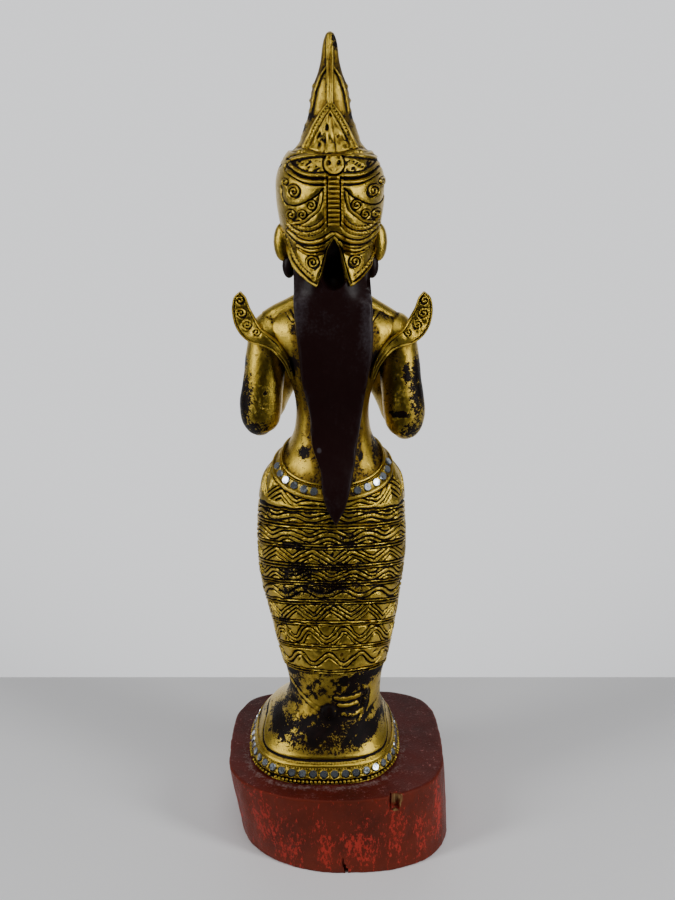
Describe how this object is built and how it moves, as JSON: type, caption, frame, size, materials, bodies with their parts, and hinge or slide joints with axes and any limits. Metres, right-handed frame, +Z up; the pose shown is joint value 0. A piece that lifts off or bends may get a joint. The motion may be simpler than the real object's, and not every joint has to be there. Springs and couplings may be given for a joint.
{
  "type": "nat statue",
  "caption": "Standing gilded figure with joined hands, tall leafed crown and long hair, on a rounded block of red lacquered wood.",
  "frame": {"origin": "middle of the underside of the block, in the plane that it stands on", "axes": "+Z up along the figure, from the block to the tip of the crown; the figure faces -Y and its long hair faces +Y; +X is to the figure's left hand"},
  "size_m": [0.1931, 0.1733, 0.6603],
  "materials": {
    "gilded_lacquer": "worn gold leaf over dark brown lacquer",
    "red_lacquer": "semi-gloss red lacquer, worn to vermilion",
    "mirror_glass": "cut mirror glass, dulled"
  },
  "bodies": {
    "root": {"plinth": "red_lacquer", "figure": "gilded_lacquer", "hem_glass_01": "mirror_glass", "hem_glass_02": "mirror_glass", "hem_glass_03": "mirror_glass", "hem_glass_04": "mirror_glass", "hem_glass_05": "mirror_glass", "hem_glass_06": "mirror_glass", "hem_glass_07": "mirror_glass", "hem_glass_08": "mirror_glass", "hem_glass_09": "mirror_glass", "hem_glass_10": "mirror_glass", "hem_glass_11": "mirror_glass", "hem_glass_12": "mirror_glass", "hem_glass_13": "mirror_glass", "hem_glass_14": "mirror_glass", "hem_glass_15": "mirror_glass", "hem_glass_16": "mirror_glass", "hem_glass_17": "mirror_glass", "hem_glass_18": "mirror_glass", "hem_glass_19": "mirror_glass", "hem_glass_20": "mirror_glass", "hem_glass_21": "mirror_glass", "hem_glass_22": "mirror_glass", "hem_glass_23": "mirror_glass", "hem_glass_24": "mirror_glass", "hem_glass_25": "mirror_glass", "hem_glass_26": "mirror_glass", "hem_glass_27": "mirror_glass", "hem_glass_28": "mirror_glass", "hem_glass_29": "mirror_glass", "hem_glass_30": "mirror_glass", "hem_glass_31": "mirror_glass", "hem_glass_32": "mirror_glass", "hem_glass_33": "mirror_glass", "hem_glass_34": "mirror_glass", "hem_glass_35": "mirror_glass", "hem_glass_36": "mirror_glass", "hem_glass_37": "mirror_glass", "hem_glass_38": "mirror_glass", "hem_glass_39": "mirror_glass", "hem_glass_40": "mirror_glass", "hem_glass_41": "mirror_glass", "hem_glass_42": "mirror_glass", "hem_glass_43": "mirror_glass", "hem_glass_44": "mirror_glass", "hem_glass_45": "mirror_glass", "hem_glass_46": "mirror_glass", "belt_glass_left_1": "mirror_glass", "belt_glass_left_2": "mirror_glass", "belt_glass_left_3": "mirror_glass", "belt_glass_left_4": "mirror_glass", "belt_glass_left_5": "mirror_glass", "belt_glass_left_6": "mirror_glass", "belt_glass_right_1": "mirror_glass", "belt_glass_right_2": "mirror_glass", "belt_glass_right_3": "mirror_glass", "belt_glass_right_4": "mirror_glass", "belt_glass_right_5": "mirror_glass", "belt_glass_right_6": "mirror_glass"}
  },
  "joints": []
}
